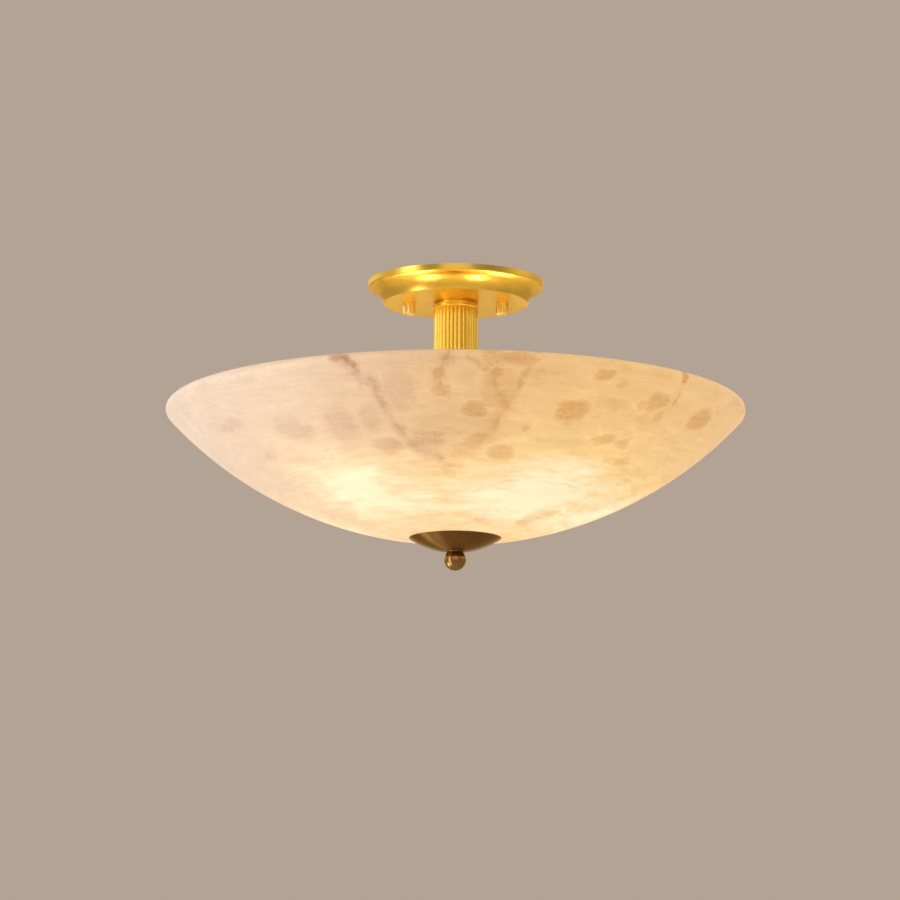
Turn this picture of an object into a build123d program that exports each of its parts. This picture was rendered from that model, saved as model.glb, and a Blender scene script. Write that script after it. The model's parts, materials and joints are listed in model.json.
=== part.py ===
from build123d import *
import math
import os

# Semi-flush ceiling light: a shallow stone bowl hung on a reeded brass stem from a round brass canopy.
# Millimetres. The origin is the middle of the ceiling plane, +Z is up and -Y faces the viewer.

# Clearances shared by every fit
RUN_GAP = 0.1  # radial, round a thread or shank in its hole
SIDE_GAP = 0.3  # between pieces that move past each other
HOLE_GAP = 0.3  # radial, round a screw in a plain clearance hole

# Ceiling bracket: a hat-shaped steel strap
BRACKET_WIDTH = 22
BRACKET_THICKNESS = 2
BRACKET_DROP = 4  # the middle hangs this far below the ends
BRACKET_WEB_RUN = 3  # sideways run of each slanted web
BOX_SCREW_SPACING = 88.9  # between the two ceiling slots
SLOT_LENGTH = 8
SLOT_WIDTH = 4.5
BRACKET_CLEARANCE = 3.5  # from the bracket's corners to the canopy's wall
WIRE_HOLE_DIAMETER = 16
EARTH_SCREW_OFFSET = 18  # from the middle of the bracket

# M4 fasteners
M4 = 4
M4_PITCH = 0.7
M4_HEAD_DIAMETER = 7
M4_HEAD_HEIGHT = 2.2
M4_NUT_FLATS = 7
M4_NUT_HEIGHT = 3.2
STUD_SPACING = 65  # between the two canopy studs
STUD_HEAD_MARGIN = 1  # from a stud's head to the slanted web

# Canopy: spun brass, from the rim down to the floor
CANOPY_DIAMETER = 122
CANOPY_WALL = 1.2
RIM_WALL = 2.4  # of the rim, which is turned in
RIM_HEIGHT = 4.5
RIM_ROUND = 0.8  # of the rim's lower edge
COVE_RUN = 10.2
COVE_RISE = 10.5
COVE_HOLLOW = 2  # how far the cove lies behind the straight line between its ends

# Knurled cap nuts that hold the canopy up
CAP_NUT_DIAMETER = 9
CAP_NUT_HEIGHT = 7.5
CAP_NUT_NECK_HEIGHT = 0.9
CAP_NUT_NECK_DIAMETER = 7.6
CAP_NUT_FLOOR = 0.7  # metal left under the blind thread
CAP_NUT_CHAMFER = 0.5
CAP_NUT_TEETH = 24
KNURL_DEPTH = 0.3
STUD_END_GAP = 0.6  # from a stud's end to the bottom of its nut

# Reeded stem and its two end collars
STEM_DIAMETER = 30.5
STEM_WALL = 1.4  # from the bore to the root of the reeds
STEM_LENGTH = 92.6
REED_COUNT = 32
REED_ROOT_RISE = 0.25  # the root circle lies this far outside the reeds' centres
COLLAR_OVERHANG = 0.6  # radial, past the stem
COLLAR_HEIGHT = 2.5
COLLAR_NECK_INSET = 2.25  # radial, behind the collar's edge
COLLAR_NECK_HEIGHT = 1.2
COLLAR_SPIGOT = 6

# Hollow M10 tube that ties canopy, stem and cluster together
TUBE_DIAMETER = 10
TUBE_BORE = 7
TUBE_NUT_FLATS = 14
TUBE_NUT_HEIGHT = 3
TUBE_WASHER_DIAMETER = 18
TUBE_WASHER_THICKNESS = 0.8
TUBE_STANDOUT = 0.8  # thread showing past each nut

# Lamp cluster: drum, cover and four arms
CLUSTER_DIAMETER = 46
CLUSTER_HEIGHT = 22
CLUSTER_WALL = 2.5
CLUSTER_TOP = 3
COVER_THICKNESS = 4
M3 = 3
M3_HEAD_DIAMETER = 5.5
M3_HEAD_HEIGHT = 1.8
COVER_SCREW_REACH = 8  # length of thread in the drum
BOSS_DIAMETER = 7
LAMP_COUNT = 4
LAMP_FIRST_ANGLE = 38.7  # of the first arm, from +X
JUNCTION_CLEARANCE = 1.75  # from the junction block to the cover screws' bosses
JUNCTION_HEIGHT = 7

# Lamp arm, cup and ceramic holder, measured outwards along the arm
ARM_DIAMETER = 10
ARM_BORE = 7
ARM_INSIDE = 1.5  # reach past the drum's wall, inwards
ARM_SHOWING = 5
ARM_IN_CUP = 1
CUP_DIAMETER = 25
CUP_WALL = 1
CUP_BACK = 2
CUP_LENGTH = 20
CUP_BACK_ROUND = 1.5
HOLDER_GAP = 0.2  # radial, inside the cup
HOLDER_ROUND = 1
HOLDER_RECESS = 4
HOLDER_WEB = 2  # ceramic left between the recess and the pin pockets

# Push-in two-pin bulb
PIN_SPACING = 9
PIN_LENGTH = 15
PIN_LOOP_WIDTH = 3.2
PIN_WIRE = 0.9
POCKET_GAP = 0.5  # round each pin in its pocket
BULB_BASE_DIAMETER = 16.5
BULB_BASE_LENGTH = 12
BULB_GROOVES = 3
BULB_GROOVE_DEPTH = 0.6
BULB_GROOVE_WIDTH = 1.2
BULB_SPIGOT = 3
BULB_DIAMETER = 17
BULB_LENGTH = 34
BULB_WALL = 1

# Hanger rod, M6, with its nuts
ROD_DIAMETER = 6
ROD_NUT_FLATS = 10
ROD_NUT_HEIGHT = 5
ROD_STANDOUT = 1
HANGER_DROP = 32.4  # from the cluster cover down to the bowl's inner seat

# Stone bowl: a cap of a sphere with a full-round lip
BOWL_DIAMETER = 400
BOWL_SPHERE_RADIUS = 272
BOWL_WALL = 8
BOWL_HOLE_GAP = 1  # radial, round the hanger rod
INNER_SEAT_MARGIN = 2  # flat left round the seat plate
OUTER_SEAT_MARGIN = 3  # flat left round the lower cushion

# Seat plate and cushions that grip the bowl
SEAT_PLATE_DIAMETER = 42
SEAT_PLATE_THICKNESS = 2
UPPER_CUSHION_THICKNESS = 2
CUSHION_DIAMETER = 38

# Bottom cap and ball finial
CAP_DIAMETER = 63.5
CAP_DEPTH = 9.5
CAP_WALL = 1.5
CAP_RIM_LAND = 2.5  # width of the rim that follows the bowl
FINIAL_BALL_DIAMETER = 15
FINIAL_NECK_DIAMETER = 11
FINIAL_NECK_HEIGHT = 0.8
FINIAL_FLOOR = 3.2  # metal left under the blind thread
ROD_END_GAP = 0.5  # from the rod's end to the bottom of the finial's thread

# Wiring
LEAD_DIAMETER = 2
LEAD_SPREAD = 1.7  # of each supply lead from the tube's axis
LEAD_BEND = 4
LAMP_LEAD_DIAMETER = 1.6
LAMP_LEAD_SPREAD = 1.3
BLOCK_POLES = 3
BLOCK_POLE_PITCH = 9
BLOCK_DEPTH = 14
BLOCK_BASE_HEIGHT = 4
BLOCK_HEIGHT = 10
BLOCK_BARREL_WIDTH = 7
BLOCK_OFFSET = 28  # of the block's middle from the stem axis, away from the viewer
BLOCK_ENTRY_HEIGHT = 4.8  # of the wire entries above the canopy floor
BLOCK_SCREW_DIAMETER = 3.2
BLOCK_SCREW_PITCH = 7
EARTH_STUD_SIDE = 24  # of the earth stud from the stem axis, to the left
EARTH_LUG_LAND = 0.5  # of the lug round its nut, where the lead joins
EARTH_LUG_THICKNESS = 0.8

# Heights that follow from those sizes
canopy_radius = CANOPY_DIAMETER / 2
canopy_inside = canopy_radius - RIM_WALL
canopy_depth = RIM_HEIGHT + COVE_RISE
floor_under = -canopy_depth
floor_top = floor_under + CANOPY_WALL
floor_radius = canopy_radius - RIM_ROUND - COVE_RUN
stem_top = floor_under - COLLAR_NECK_HEIGHT - COLLAR_HEIGHT
stem_bottom = stem_top - STEM_LENGTH
cluster_top = stem_bottom - COLLAR_HEIGHT - COLLAR_NECK_HEIGHT
cluster_bottom = cluster_top - CLUSTER_HEIGHT
cluster_ceiling = cluster_top - CLUSTER_TOP
lamp_height = cluster_top - CLUSTER_HEIGHT / 2
cover_under = cluster_bottom - COVER_THICKNESS
bowl_seat = cover_under - HANGER_DROP
bowl_apex = bowl_seat - BOWL_WALL
bowl_centre = bowl_apex + BOWL_SPHERE_RADIUS
tube_top = floor_top + TUBE_WASHER_THICKNESS + TUBE_NUT_HEIGHT + TUBE_STANDOUT
tube_bottom = cluster_ceiling - TUBE_NUT_HEIGHT - TUBE_STANDOUT
bracket_middle_top = -BRACKET_DROP
bracket_middle_under = bracket_middle_top - BRACKET_THICKNESS
stud_end = floor_under - CAP_NUT_HEIGHT + CAP_NUT_FLOOR + STUD_END_GAP
rod_top = cluster_bottom + ROD_NUT_HEIGHT + ROD_STANDOUT

# Distances out along a lamp arm
cluster_radius = CLUSTER_DIAMETER / 2
boss_distance = cluster_radius - CLUSTER_WALL / 2 - BOSS_DIAMETER / 2
junction_radius = boss_distance - BOSS_DIAMETER / 2 - JUNCTION_CLEARANCE
arm_start = cluster_radius - CLUSTER_WALL - ARM_INSIDE
cup_start = cluster_radius + ARM_SHOWING
cup_seat = cup_start + CUP_BACK
arm_end = cup_seat + ARM_IN_CUP
pocket_depth = PIN_LENGTH + 2 * POCKET_GAP
holder_front = cup_seat + HOLDER_RECESS + HOLDER_WEB + pocket_depth
bulb_start = holder_front + SIDE_GAP
envelope_start = bulb_start + BULB_BASE_LENGTH


# Reeds that just touch their neighbours, and what fits inside and over them
reed_share = math.sin(math.pi / REED_COUNT)
reed_radius = STEM_DIAMETER / 2 * reed_share / (1 + reed_share)
reed_centres = STEM_DIAMETER / 2 - reed_radius
reed_root = reed_centres + REED_ROOT_RISE
stem_bore = 2 * (reed_root - STEM_WALL)
collar_diameter = STEM_DIAMETER + 2 * COLLAR_OVERHANG


# Small builders used by several pieces


def ring(outer, inner, low, high):
    """A flat ring or tube about the Z axis, by diameters."""
    height = high - low
    return Pos(0, 0, (low + high) / 2) * (Cylinder(outer / 2, height) - Cylinder(inner / 2, height))


def rod(diameter, low, high):
    """A plain round bar about the Z axis."""
    return Pos(0, 0, (low + high) / 2) * Cylinder(diameter / 2, high - low)


def turned(*edges):
    """A solid of revolution about Z from an outline in radius and height."""
    return revolve(Plane.XZ * make_face(edges), Axis.Z)


def hex_nut(flats, height, bore, low):
    """A hexagon nut about Z, with its corners turned off at both ends."""
    across_corners = flats / math.cos(math.pi / 6)
    blank = extrude(RegularPolygon(flats / 2, 6, major_radius=False), height)
    turned_blank = Pos(0, 0, height / 2) * Cylinder(across_corners / 2, height)
    turned_blank = chamfer(turned_blank.edges().filter_by(GeomType.CIRCLE), (across_corners - flats) / 2)
    return Pos(0, 0, low) * (blank & turned_blank) - ring_bore(bore, low, low + height)


def ring_bore(diameter, low, high):
    """The round cutter for a hole through a piece between two heights."""
    return rod(diameter, low - 1, high + 1)


def sphere_height(radius, centre, distance):
    """Height of the lower half of a sphere at a distance from its axis."""
    return centre - math.sqrt(radius**2 - distance**2)


def sphere_arc(radius, centre, start, end):
    """The lower sphere's outline between two distances from the axis."""
    points = [(r, sphere_height(radius, centre, r)) for r in (start, (start + end) / 2, end)]
    return ThreePointArc(*points)


def bent_wire(points, bends, diameter):
    """A round wire along straight runs joined by tangent arcs."""
    points = [Vector(*p) for p in points]
    edges, here = [], points[0]
    for before, corner, after, bend in zip(points, points[1:], points[2:], bends):
        into, out = (corner - before).normalized(), (after - corner).normalized()
        half_turn = math.radians(into.get_angle(out)) / 2
        tangent = bend * math.tan(half_turn)
        start, end = corner - into * tangent, corner + out * tangent
        middle = corner + (out - into).normalized() * (bend / math.cos(half_turn) - bend)
        edges += [Line(here, start), ThreePointArc(start, middle, end)]
        here = end
    edges.append(Line(here, points[-1]))
    section = Plane(origin=points[0], z_dir=points[1] - points[0]) * Circle(diameter / 2)
    return sweep(section, path=Wire(edges))


def along_arm(shape, number):
    """Places a shape made along +X on the arm with that number."""
    angle = LAMP_FIRST_ANGLE + 360 / LAMP_COUNT * number
    return Pos(0, 0, lamp_height) * Rot(0, 0, angle) * shape


def arm_bar(diameter, start, end):
    """A round bar along +X between two distances from the stem axis."""
    return Pos((start + end) / 2, 0, 0) * Rot(0, 90, 0) * Cylinder(diameter / 2, end - start)


def arm_tube(outer, inner, start, end):
    """A round tube along +X between two distances from the stem axis."""
    return arm_bar(outer, start, end) - arm_bar(inner, start, end)


# Ceiling bracket and its fasteners


def mounting_bracket():
    half_width = BRACKET_WIDTH / 2
    half_length = math.sqrt((canopy_inside - BRACKET_CLEARANCE) ** 2 - half_width**2)
    middle = STUD_SPACING / 2 + M4_HEAD_DIAMETER / 2 + STUD_HEAD_MARGIN
    web_top = middle + BRACKET_WEB_RUN
    upper = [(-half_length, 0), (-web_top, 0), (-middle, -BRACKET_DROP)]
    upper += [(-x, z) for x, z in reversed(upper)]
    lower = [(x, z - BRACKET_THICKNESS) for x, z in reversed(upper)]
    side_view = make_face(Polyline(*upper, *lower, close=True))
    strap = extrude(Plane.XZ * side_view, half_width, both=True)
    cutter_depth = BRACKET_DROP + BRACKET_THICKNESS + 1
    slot = extrude(SlotOverall(SLOT_LENGTH, SLOT_WIDTH), -cutter_depth)
    tapped = rod(M4 + 2 * RUN_GAP, -cutter_depth, 1)
    for side in (-1, 1):
        strap -= Pos(side * BOX_SCREW_SPACING / 2, 0, 1) * slot
        strap -= Pos(side * STUD_SPACING / 2, 0, 0) * tapped
    strap -= Pos(EARTH_SCREW_OFFSET, 0, 0) * tapped
    return strap - rod(WIRE_HOLE_DIAMETER, -cutter_depth, 1)


def bracket_studs():
    head = rod(M4_HEAD_DIAMETER, bracket_middle_top, bracket_middle_top + M4_HEAD_HEIGHT)
    stud = head + rod(M4, stud_end, bracket_middle_top)
    return Compound(children=[Pos(side * STUD_SPACING / 2, 0, 0) * stud for side in (-1, 1)])


def stud_lock_nuts():
    low = bracket_middle_under - M4_NUT_HEIGHT
    nut = hex_nut(M4_NUT_FLATS, M4_NUT_HEIGHT, M4 + 2 * RUN_GAP, low)
    return Compound(children=[Pos(side * STUD_SPACING / 2, 0, 0) * nut for side in (-1, 1)])


def bracket_earth_screw():
    head_under = bracket_middle_under - M4_HEAD_HEIGHT
    screw = rod(M4_HEAD_DIAMETER, head_under, bracket_middle_under)
    screw += rod(M4, head_under, bracket_middle_top)
    return Pos(EARTH_SCREW_OFFSET, 0, 0) * screw


# Canopy and the cap nuts under it


def canopy():
    """A shell of one shallow cove between a rounded rim and a flat floor."""
    corner = math.sqrt(0.5)
    round_start = Vector(canopy_radius, RIM_ROUND - RIM_HEIGHT)
    cove_start = Vector(canopy_radius - RIM_ROUND, -RIM_HEIGHT)
    round_middle = Vector(cove_start.X + RIM_ROUND * corner, round_start.Y - RIM_ROUND * corner)
    cove_end = Vector(floor_radius, floor_under)
    chord = cove_end - cove_start
    hollow_way = Vector(chord.Y, -chord.X).normalized()
    cove_radius = (chord.length**2 / 4 + COVE_HOLLOW**2) / (2 * COVE_HOLLOW)
    cove_centre = (cove_start + cove_end) / 2 + hollow_way * (COVE_HOLLOW - cove_radius)
    inner_radius = cove_radius + CANOPY_WALL
    inner_rise = math.sqrt(inner_radius**2 - (canopy_inside - cove_centre.X) ** 2)
    inner_run = math.sqrt(inner_radius**2 - (floor_top - cove_centre.Y) ** 2)
    inner_start = Vector(canopy_inside, cove_centre.Y + inner_rise)
    inner_end = Vector(cove_centre.X - inner_run, floor_top)
    outer_line = [
        Line((canopy_radius, 0), round_start),
        ThreePointArc(round_start, round_middle, cove_start),
        ThreePointArc(cove_start, cove_centre + hollow_way * cove_radius, cove_end),
    ]
    inner_line = [
        Line((canopy_inside, 0), inner_start),
        ThreePointArc(inner_start, cove_centre + hollow_way * inner_radius, inner_end),
    ]
    ends = [
        Line((canopy_radius, 0), (canopy_inside, 0)),
        Line(cove_end, (0, floor_under)),
        Line((0, floor_under), (0, floor_top)),
        Line((0, floor_top), inner_end),
    ]
    shell = turned(*outer_line, *inner_line, *ends)
    shell -= ring_bore(TUBE_DIAMETER + 2 * RUN_GAP, floor_under, floor_top)
    for side in (-1, 1):
        shell -= Pos(side * STUD_SPACING / 2, 0, 0) * ring_bore(M4 + 2 * HOLE_GAP, floor_under, floor_top)
    return shell


def cap_nut(side):
    """A knurled nut with a short neck, a straight knurl and a blind thread."""
    points = []
    for tooth in range(2 * CAP_NUT_TEETH):
        angle = math.pi * tooth / CAP_NUT_TEETH
        radius = CAP_NUT_DIAMETER / 2 - KNURL_DEPTH * (tooth % 2)
        points.append((radius * math.cos(angle), radius * math.sin(angle)))
    body_height = CAP_NUT_HEIGHT - CAP_NUT_NECK_HEIGHT
    knurl = extrude(make_face(Polyline(*points, close=True)), body_height)
    blank = Pos(0, 0, body_height / 2) * Cylinder(CAP_NUT_DIAMETER / 2, body_height)
    knurl &= chamfer(blank.edges().filter_by(GeomType.CIRCLE), CAP_NUT_CHAMFER)
    low = floor_under - CAP_NUT_HEIGHT
    nut = Pos(0, 0, low) * knurl
    nut += rod(CAP_NUT_NECK_DIAMETER, low + body_height, floor_under)
    nut -= rod(M4 + 2 * RUN_GAP, low + CAP_NUT_FLOOR, floor_under + 1)
    return Pos(side * STUD_SPACING / 2, 0, 0) * nut


# Stem, its collars and the tube through it


def reeded_stem():
    """A tube whose outside is a ring of touching convex reeds."""
    section = Circle(reed_root)
    section += PolarLocations(reed_centres, REED_COUNT) * Circle(reed_radius)
    section -= Circle(stem_bore / 2)
    return Pos(0, 0, stem_bottom) * extrude(section, STEM_LENGTH)


def stem_collar(end, way):
    """A turned collar on the stem's end: flange, neck beyond it and a spigot inside the stem."""
    flange = (end, end + way * COLLAR_HEIGHT)
    neck = (flange[1], flange[1] + way * COLLAR_NECK_HEIGHT)
    spigot = (end, end - way * COLLAR_SPIGOT)
    bore = TUBE_DIAMETER + 2 * RUN_GAP
    collar = ring(collar_diameter, bore, *sorted(flange))
    outer_edges = collar.edges().filter_by(GeomType.CIRCLE).group_by(SortBy.RADIUS)[-1]
    collar = fillet(outer_edges, COLLAR_HEIGHT / 4)
    collar += ring(collar_diameter - 2 * COLLAR_NECK_INSET, bore, *sorted(neck))
    return collar + ring(stem_bore - 2 * RUN_GAP, bore, *sorted(spigot))


def threaded_tube():
    tube = ring(TUBE_DIAMETER, TUBE_BORE, tube_bottom, tube_top)
    mouths = tube.edges().filter_by(GeomType.CIRCLE).group_by(SortBy.RADIUS)[0]
    return chamfer(mouths, (TUBE_DIAMETER - TUBE_BORE) / 6)


def tube_washer():
    top = floor_top + TUBE_WASHER_THICKNESS
    return ring(TUBE_WASHER_DIAMETER, TUBE_DIAMETER + 2 * RUN_GAP, floor_top, top)


def tube_nut(low):
    return hex_nut(TUBE_NUT_FLATS, TUBE_NUT_HEIGHT, TUBE_DIAMETER + 2 * RUN_GAP, low)


# Lamp cluster


def cover_screw_places():
    """The cover's screws stand midway between the arms."""
    return PolarLocations(boss_distance, LAMP_COUNT, start_angle=LAMP_FIRST_ANGLE + 180 / LAMP_COUNT)


def cluster_body():
    drum = rod(CLUSTER_DIAMETER, cluster_bottom, cluster_top)
    drum = fillet(drum.edges().group_by(Axis.Z)[-1], CLUSTER_WALL / 2)
    inside = CLUSTER_DIAMETER - 2 * CLUSTER_WALL
    cavity = rod(inside, cluster_bottom - 1, cluster_ceiling)
    boss = rod(BOSS_DIAMETER, cluster_bottom, cluster_ceiling)
    screw_hole = rod(M3 + 2 * RUN_GAP, cluster_bottom - 1, cluster_bottom + COVER_SCREW_REACH + SIDE_GAP)
    drum -= cavity
    drum += cover_screw_places() * boss
    drum -= cover_screw_places() * screw_hole
    drum -= ring_bore(TUBE_DIAMETER + 2 * RUN_GAP, cluster_ceiling, cluster_top)
    for number in range(LAMP_COUNT):
        drum -= along_arm(arm_bar(ARM_DIAMETER + 2 * RUN_GAP, arm_start, cluster_radius + 1), number)
    return drum


def cluster_cover():
    disc = rod(CLUSTER_DIAMETER, cover_under, cluster_bottom)
    disc = fillet(disc.edges().group_by(Axis.Z)[0], COVER_THICKNESS / 3)
    disc -= ring_bore(ROD_DIAMETER + 2 * RUN_GAP, cover_under, cluster_bottom)
    seat = rod(M3_HEAD_DIAMETER + 2 * RUN_GAP, cover_under - 1, cover_under + M3_HEAD_HEIGHT)
    seat += ring_bore(M3 + 2 * RUN_GAP, cover_under, cluster_bottom)
    return disc - cover_screw_places() * seat


def cover_screws():
    shoulder = cover_under + M3_HEAD_HEIGHT
    screw = rod(M3_HEAD_DIAMETER, cover_under, shoulder)
    screw += rod(M3, shoulder, cluster_bottom + COVER_SCREW_REACH)
    return Compound(children=[place * screw for place in cover_screw_places()])


def junction_block():
    """Round push-in connector that shares the supply among the lamps."""
    low = cluster_bottom + ROD_NUT_HEIGHT
    return ring(2 * junction_radius, ROD_DIAMETER + 2 * HOLE_GAP, low, low + JUNCTION_HEIGHT)


# One lamp: arm, cup, holder and bulb, each made along +X


def lamp_arm(number):
    return along_arm(arm_tube(ARM_DIAMETER, ARM_BORE, arm_start, arm_end), number)


def lamp_cup(number):
    blank = arm_bar(CUP_DIAMETER, cup_start, cup_start + CUP_LENGTH)
    blank = fillet(blank.edges().group_by(Axis.X)[0], CUP_BACK_ROUND)
    blank -= arm_bar(CUP_DIAMETER - 2 * CUP_WALL, cup_seat, cup_start + CUP_LENGTH + 1)
    return along_arm(blank - arm_bar(ARM_DIAMETER + 2 * RUN_GAP, cup_start - 1, cup_seat + 1), number)


def lamp_holder(number):
    block = arm_bar(CUP_DIAMETER - 2 * CUP_WALL - 2 * HOLDER_GAP, cup_seat, holder_front)
    block = fillet(block.edges().group_by(Axis.X)[-1], HOLDER_ROUND)
    block -= arm_bar(ARM_DIAMETER + 2 * HOLE_GAP, cup_seat - 1, cup_seat + HOLDER_RECESS)
    pocket = Box(2 * pocket_depth, PIN_WIRE + 2 * POCKET_GAP, PIN_LOOP_WIDTH + 2 * POCKET_GAP)
    for side in (-1, 1):
        block -= Pos(holder_front, side * PIN_SPACING / 2, 0) * pocket
    return along_arm(block, number)


def bulb_base(number):
    base = arm_bar(BULB_BASE_DIAMETER, bulb_start, envelope_start)
    pitch = BULB_BASE_LENGTH / (BULB_GROOVES + 1)
    for groove in range(BULB_GROOVES):
        middle = bulb_start + pitch * (groove + 1)
        start, end = middle - BULB_GROOVE_WIDTH / 2, middle + BULB_GROOVE_WIDTH / 2
        root = BULB_BASE_DIAMETER - 2 * BULB_GROOVE_DEPTH
        base -= arm_tube(BULB_BASE_DIAMETER + 1, root, start, end)
    spigot = BULB_DIAMETER - 2 * BULB_WALL - 2 * RUN_GAP
    return along_arm(base + arm_bar(spigot, envelope_start, envelope_start + BULB_SPIGOT), number)


def bulb_pins(number):
    """Two flat wire loops that push into the holder."""
    loop = SlotOverall(2 * PIN_LENGTH, PIN_LOOP_WIDTH)
    loop -= SlotOverall(2 * (PIN_LENGTH - PIN_WIRE), PIN_LOOP_WIDTH - 2 * PIN_WIRE)
    loop &= Pos(-PIN_LENGTH / 2, 0) * Rectangle(PIN_LENGTH, PIN_LOOP_WIDTH)
    pin = extrude(Plane.XZ * loop, PIN_WIRE / 2, both=True)
    places = [Pos(bulb_start, side * PIN_SPACING / 2, 0) for side in (-1, 1)]
    return Compound(children=[along_arm(place * pin, number) for place in places])


def bulb_envelope(number):
    """A frosted thimble: a tube with a round end."""

    def thimble(diameter, tip):
        radius = diameter / 2
        dome = tip - radius
        return arm_bar(diameter, envelope_start, dome) + Pos(dome, 0, 0) * Sphere(radius)

    tip = envelope_start + BULB_LENGTH
    hollow = thimble(BULB_DIAMETER - 2 * BULB_WALL, tip - BULB_WALL)
    return along_arm(thimble(BULB_DIAMETER, tip) - hollow, number)


# Hanger rod, bowl and what grips it


def dish(rim_distance, apex):
    """Radius and centre height of a sphere from an apex up to a rim just clear of the bowl."""
    depth = sphere_height(BOWL_SPHERE_RADIUS, bowl_centre, rim_distance) - SIDE_GAP - apex
    radius = (rim_distance**2 + depth**2) / (2 * depth)
    return radius, apex + radius


cap_rim = CAP_DIAMETER / 2
cap_inner_rim = cap_rim - CAP_RIM_LAND
cap_apex = sphere_height(BOWL_SPHERE_RADIUS, bowl_centre, cap_rim) - SIDE_GAP - CAP_DEPTH
cap_radius, cap_centre = dish(cap_rim, cap_apex)
cap_inner_radius, cap_inner_centre = dish(cap_inner_rim, cap_apex + CAP_WALL)
cap_flat = sphere_height(cap_radius, cap_centre, FINIAL_NECK_DIAMETER / 2)
outer_seat_radius = CUSHION_DIAMETER / 2 + OUTER_SEAT_MARGIN
outer_seat = sphere_height(BOWL_SPHERE_RADIUS, bowl_centre, outer_seat_radius)
finial_shoulder = cap_flat - FINIAL_NECK_HEIGHT
ball_radius = FINIAL_BALL_DIAMETER / 2
ball_centre = finial_shoulder - math.sqrt(ball_radius**2 - (FINIAL_NECK_DIAMETER / 2) ** 2)
finial_bottom = ball_centre - ball_radius
finial_bore_end = finial_bottom + FINIAL_FLOOR
plate_under = bowl_seat + UPPER_CUSHION_THICKNESS
plate_top = plate_under + SEAT_PLATE_THICKNESS


def hanger_rod():
    return rod(ROD_DIAMETER, finial_bore_end + ROD_END_GAP, rod_top)


def rod_nut(low):
    return hex_nut(ROD_NUT_FLATS, ROD_NUT_HEIGHT, ROD_DIAMETER + 2 * RUN_GAP, low)


def seat_plate():
    plate = ring(SEAT_PLATE_DIAMETER, ROD_DIAMETER + 2 * RUN_GAP, plate_under, plate_top)
    return fillet(plate.edges().group_by(Axis.Z)[-1].group_by(SortBy.RADIUS)[-1], SEAT_PLATE_THICKNESS / 2)


def upper_cushion():
    return ring(SEAT_PLATE_DIAMETER, ROD_DIAMETER + 2 * HOLE_GAP, bowl_seat, plate_under)


def stone_bowl():
    lip = BOWL_WALL / 2
    inner_radius = BOWL_SPHERE_RADIUS - BOWL_WALL
    lip_distance = BOWL_DIAMETER / 2 - lip
    lip_height = sphere_height(BOWL_SPHERE_RADIUS - lip, bowl_centre, lip_distance)
    outward = Vector(lip_distance, lip_height - bowl_centre).normalized()
    along = Vector(-outward.Y, outward.X)
    lip_centre = Vector(lip_distance, lip_height)
    outer_end, inner_end = lip_centre + outward * lip, lip_centre - outward * lip
    hole = ROD_DIAMETER / 2 + BOWL_HOLE_GAP
    inner_seat_radius = SEAT_PLATE_DIAMETER / 2 + INNER_SEAT_MARGIN
    inner_step = sphere_height(inner_radius, bowl_centre, inner_seat_radius)
    return turned(
        Line((hole, outer_seat), (outer_seat_radius, outer_seat)),
        sphere_arc(BOWL_SPHERE_RADIUS, bowl_centre, outer_seat_radius, outer_end.X),
        ThreePointArc(outer_end, lip_centre + along * lip, inner_end),
        sphere_arc(inner_radius, bowl_centre, inner_end.X, inner_seat_radius),
        Line((inner_seat_radius, inner_step), (inner_seat_radius, bowl_seat)),
        Line((inner_seat_radius, bowl_seat), (hole, bowl_seat)),
        Line((hole, bowl_seat), (hole, outer_seat)),
    )


def lower_cushion():
    """Moulded pad that fills the space between the bowl's flat and the cap's dish."""
    hole, edge = ROD_DIAMETER / 2 + HOLE_GAP, CUSHION_DIAMETER / 2
    low_hole, low_edge = (sphere_height(cap_inner_radius, cap_inner_centre, r) for r in (hole, edge))
    return turned(
        Line((hole, outer_seat), (edge, outer_seat)),
        Line((edge, outer_seat), (edge, low_edge)),
        sphere_arc(cap_inner_radius, cap_inner_centre, edge, hole),
        Line((hole, low_hole), (hole, outer_seat)),
    )


def bottom_cap():
    hole, flat = ROD_DIAMETER / 2 + HOLE_GAP, FINIAL_NECK_DIAMETER / 2
    rim = (cap_rim, sphere_height(cap_radius, cap_centre, cap_rim))
    inner_rim = (cap_inner_rim, sphere_height(cap_inner_radius, cap_inner_centre, cap_inner_rim))
    inner_hole = (hole, sphere_height(cap_inner_radius, cap_inner_centre, hole))
    return turned(
        Line((hole, cap_flat), (flat, cap_flat)),
        sphere_arc(cap_radius, cap_centre, flat, cap_rim),
        Line(rim, inner_rim),
        sphere_arc(cap_inner_radius, cap_inner_centre, cap_inner_rim, hole),
        Line(inner_hole, (hole, cap_flat)),
    )


def ball_finial():
    neck, bore = FINIAL_NECK_DIAMETER / 2, ROD_DIAMETER / 2 + RUN_GAP
    return turned(
        Line((bore, cap_flat), (neck, cap_flat)),
        Line((neck, cap_flat), (neck, finial_shoulder)),
        ThreePointArc((neck, finial_shoulder), (ball_radius, ball_centre), (0, finial_bottom)),
        Line((0, finial_bottom), (0, finial_bore_end)),
        Line((0, finial_bore_end), (bore, finial_bore_end)),
        Line((bore, finial_bore_end), (bore, cap_flat)),
    )


# Wiring inside the canopy and the cluster

block_front = BLOCK_OFFSET - BLOCK_DEPTH / 2
entry_height = floor_top + BLOCK_ENTRY_HEIGHT
block_top = floor_top + BLOCK_HEIGHT
earth_place = (-EARTH_STUD_SIDE, block_front - LEAD_BEND)
lug_under = floor_top + M4_NUT_HEIGHT


def block_poles():
    """Sideways place of each pole of the terminal block."""
    return [BLOCK_POLE_PITCH * (pole - (BLOCK_POLES - 1) / 2) for pole in range(BLOCK_POLES)]


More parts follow.
